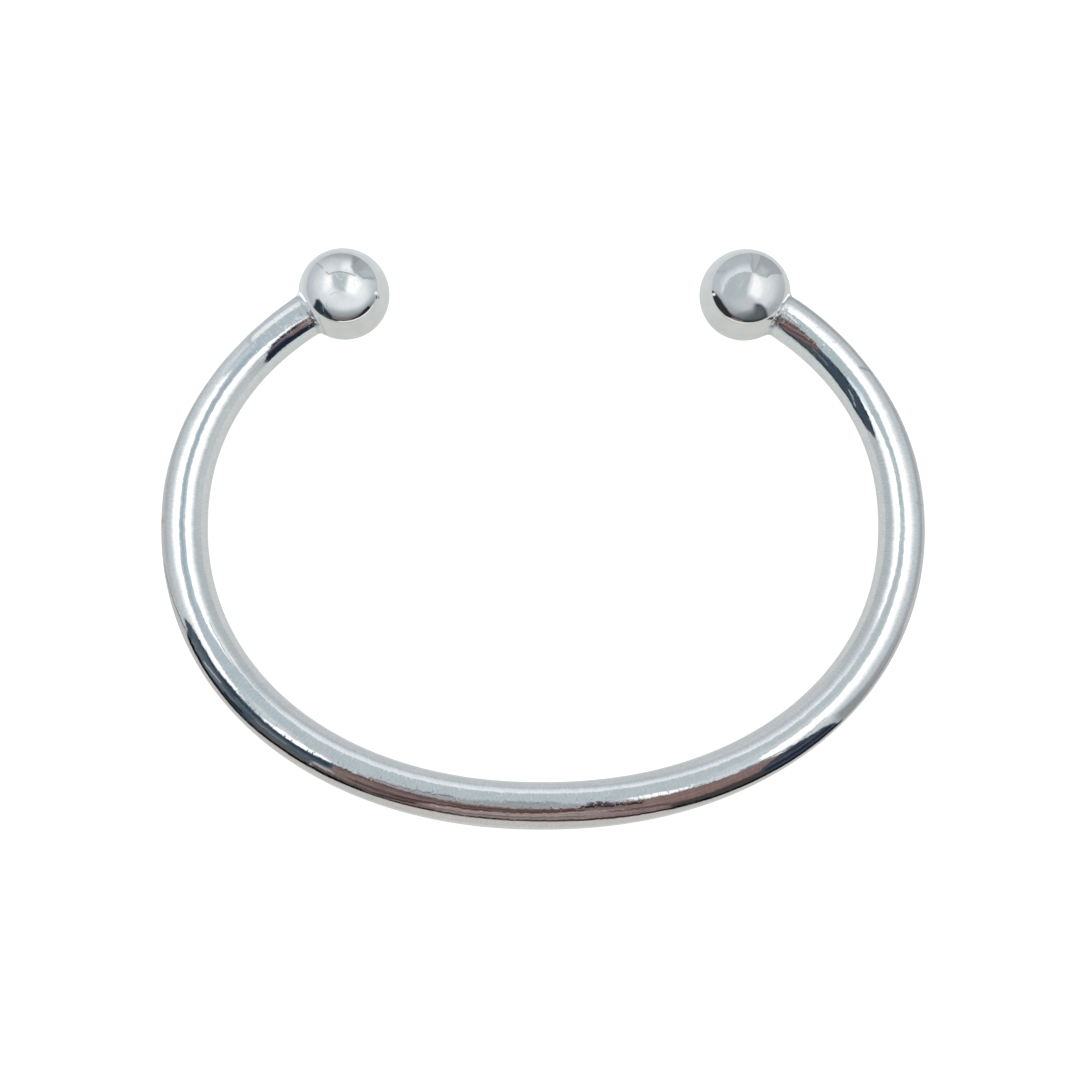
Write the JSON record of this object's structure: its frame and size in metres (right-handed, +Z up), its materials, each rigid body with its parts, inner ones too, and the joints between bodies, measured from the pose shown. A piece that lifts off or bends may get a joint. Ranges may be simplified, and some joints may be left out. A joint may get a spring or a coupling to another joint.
{
  "type": "torque bangle",
  "caption": "Open oval bangle of round polished silver wire with a solid ball on each end, lying on its side.",
  "frame": {"origin": "on the surface it lies on, under the middle of its bounding box", "axes": "+Z up, +Y towards the opening between the two balls, +X to the right when the balls are at the far side"},
  "size_m": [0.0656, 0.0504, 0.0079],
  "materials": {
    "silver": "hand-polished sterling silver, mirror bright with fine hairline scratches"
  },
  "bodies": {
    "root": {"torque_bangle": "silver"}
  },
  "joints": []
}
